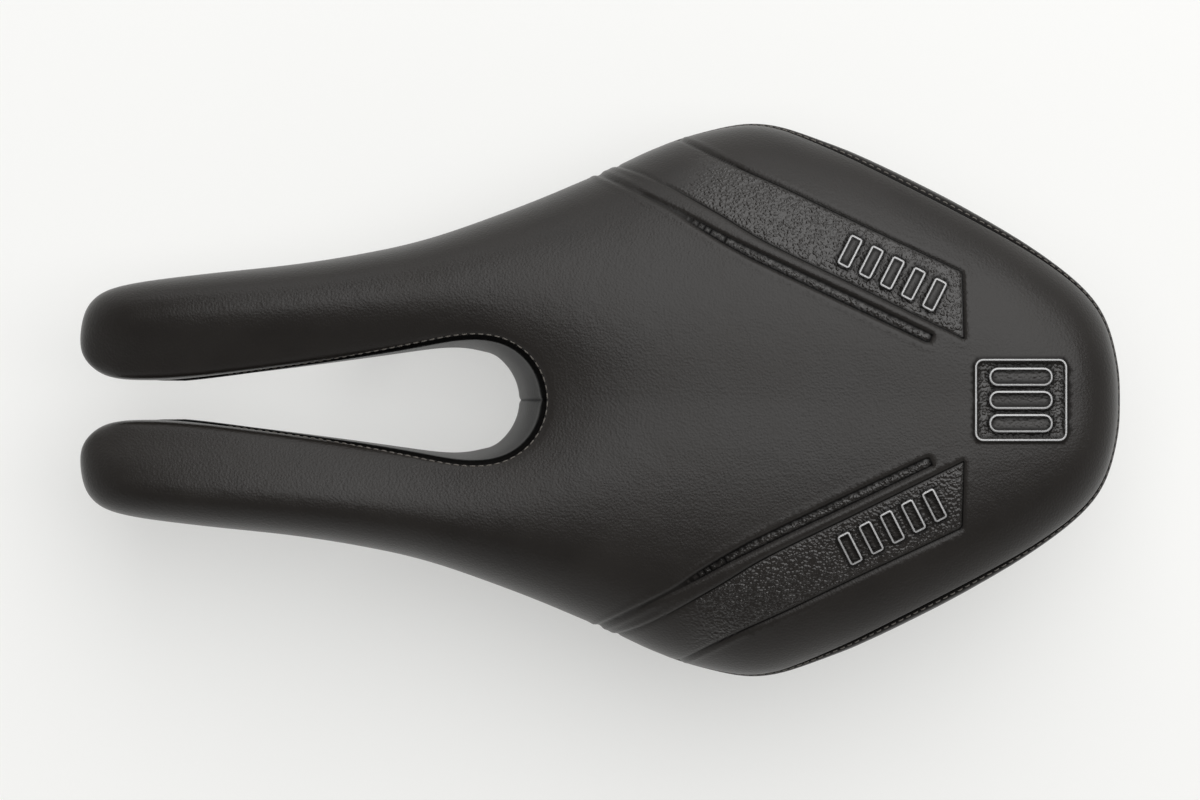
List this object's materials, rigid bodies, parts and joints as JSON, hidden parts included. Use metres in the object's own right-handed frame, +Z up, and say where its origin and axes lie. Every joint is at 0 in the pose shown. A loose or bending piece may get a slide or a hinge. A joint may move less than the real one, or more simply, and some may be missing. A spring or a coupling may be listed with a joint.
{
  "type": "bicycle saddle",
  "caption": "Split-nose bicycle saddle with a sewn padded cover, a long open cutout between two nose arms, a ribbed moulded base and two bent round rails.",
  "frame": {"origin": "middle of the overall length and width, at the height of the rails' undersides", "axes": "+X forward to the nose, +Y to the rider's left, +Z up"},
  "size_m": [0.2453, 0.131, 0.0711],
  "materials": {
    "cover_leather": "satin fine-grained synthetic leather",
    "skirt_leather": "satin synthetic leather",
    "thread": "waxed polyester thread",
    "foam": "closed-cell foam",
    "base_plastic": "fine-textured moulded plastic",
    "rail_steel": "satin",
    "cap_plastic": "fine-textured moulded plastic",
    "screw_steel": "satin",
    "insert_brass": "satin"
  },
  "bodies": {
    "root": {"top_cover": "cover_leather", "outer_skirt": "skirt_leather", "cutout_skirt_left": "skirt_leather", "cutout_skirt_right": "skirt_leather", "outer_seam_thread": "thread", "cutout_seam_thread": "thread", "foam_pad": "foam", "base_shell": "base_plastic", "rail_left": "rail_steel", "rail_right": "rail_steel", "front_cap_left": "cap_plastic", "front_cap_right": "cap_plastic", "rear_cap_left": "cap_plastic", "rear_cap_right": "cap_plastic", "front_screws_left": "screw_steel", "front_screws_right": "screw_steel", "rear_screws_left": "screw_steel", "rear_screws_right": "screw_steel", "front_inserts_left": "insert_brass", "front_inserts_right": "insert_brass", "rear_inserts_left": "insert_brass", "rear_inserts_right": "insert_brass"}
  },
  "joints": []
}
